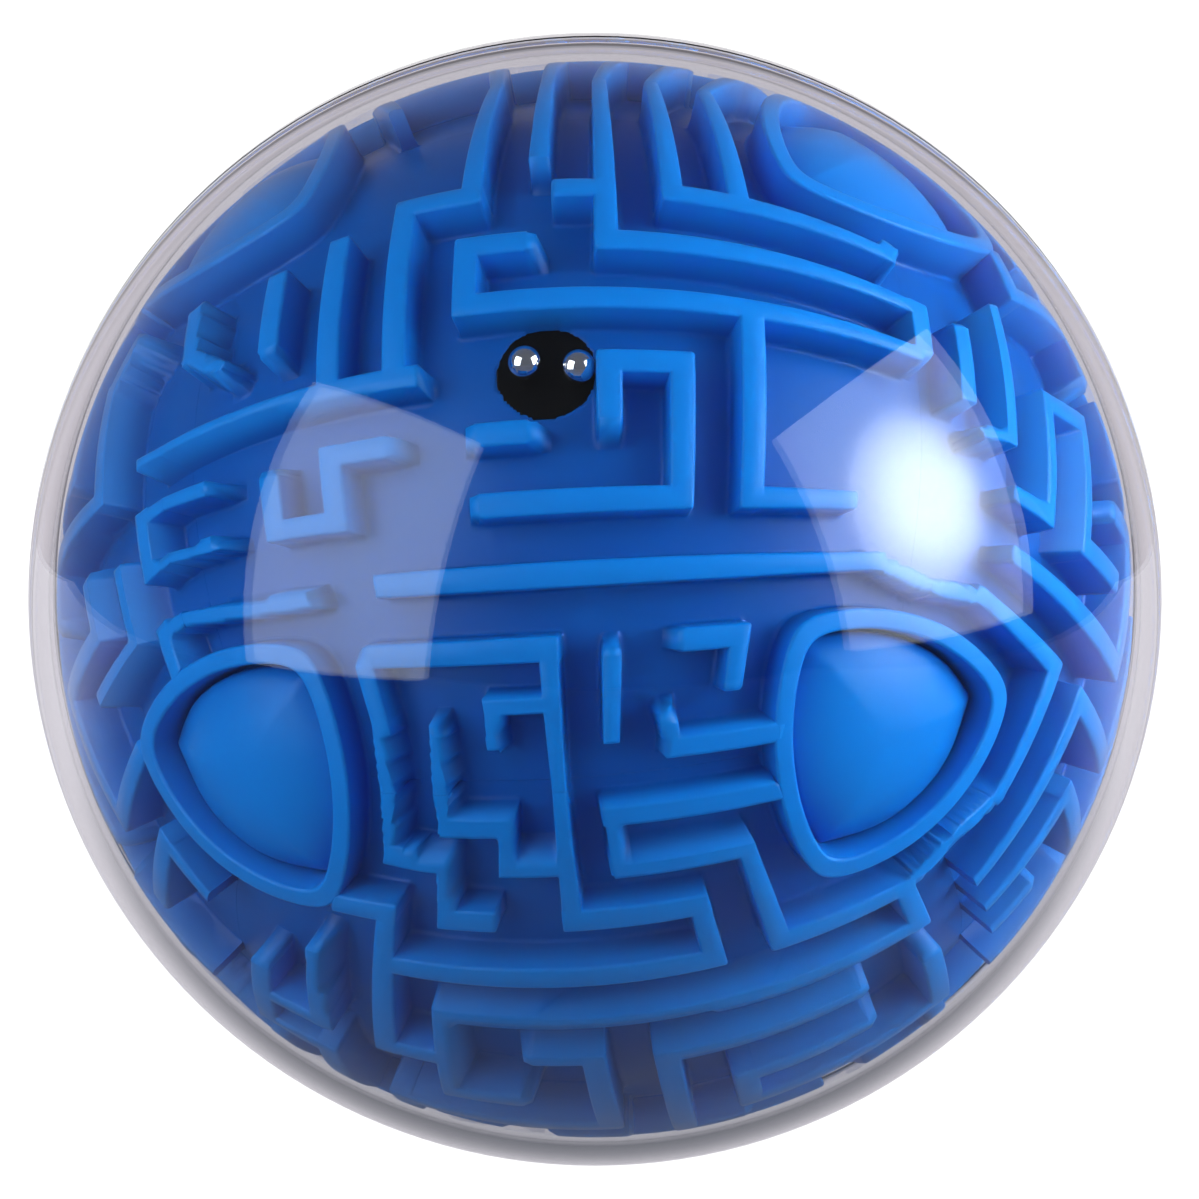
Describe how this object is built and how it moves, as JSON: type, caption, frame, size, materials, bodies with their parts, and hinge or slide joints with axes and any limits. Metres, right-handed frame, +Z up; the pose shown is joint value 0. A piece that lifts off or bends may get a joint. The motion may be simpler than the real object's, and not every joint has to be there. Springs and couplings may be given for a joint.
{
  "type": "maze ball puzzle",
  "caption": "Clear two-part ball around a blue spherical core whose walled channels form a maze, with loose steel balls to roll through it.",
  "frame": {"origin": "centre of the ball", "axes": "+Z up as pictured, -Y towards the viewer and the starting disc, +X to the viewer's right; Y is the axis of the two shell halves"},
  "size_m": [0.12, 0.12, 0.12],
  "materials": {
    "blue_plastic": "moulded polystyrene, glossy, saturated blue",
    "dark_plastic": "moulded, unpolished",
    "black_plastic": "smooth black",
    "screw_steel": "zinc-plated",
    "ball_steel": "polished bearing ball",
    "clear_plastic": "clear polished polystyrene"
  },
  "bodies": {
    "shell_and_core": {"maze_panel_front": "blue_plastic", "maze_panel_right": "blue_plastic", "maze_panel_back": "blue_plastic", "maze_panel_left": "blue_plastic", "maze_panel_top": "blue_plastic", "maze_panel_bottom": "blue_plastic", "corner_cap_front_right_top": "blue_plastic", "corner_screw_front_right_top": "screw_steel", "corner_cap_front_right_bottom": "blue_plastic", "corner_screw_front_right_bottom": "screw_steel", "corner_cap_front_left_top": "blue_plastic", "corner_screw_front_left_top": "screw_steel", "corner_cap_front_left_bottom": "blue_plastic", "corner_screw_front_left_bottom": "screw_steel", "corner_cap_back_right_top": "blue_plastic", "corner_screw_back_right_top": "screw_steel", "corner_cap_back_right_bottom": "blue_plastic", "corner_screw_back_right_bottom": "screw_steel", "corner_cap_back_left_top": "blue_plastic", "corner_screw_back_left_top": "screw_steel", "corner_cap_back_left_bottom": "blue_plastic", "corner_screw_back_left_bottom": "screw_steel", "frame_upper": "dark_plastic", "frame_lower": "dark_plastic", "frame_screw": "screw_steel", "home_disc": "black_plastic", "shell_front": "clear_plastic", "shell_rear": "clear_plastic"},
    "left_ball": {"steel_ball_left": "ball_steel"},
    "right_ball": {"steel_ball_right": "ball_steel"}
  },
  "joints": [
    {"name": "left_ball_roll", "type": "hinge", "parent": "shell_and_core", "child": "left_ball", "pos_m": [0, 0, 0], "axis": [-0.3349, -0.5198, -0.7859], "range_deg": [0, 10.4]},
    {"name": "right_ball_roll", "type": "hinge", "parent": "shell_and_core", "child": "right_ball", "pos_m": [0, 0, 0], "axis": [0.9994, -0.0159, 0.0305], "range_deg": [-3.3, 11.5]}
  ]
}
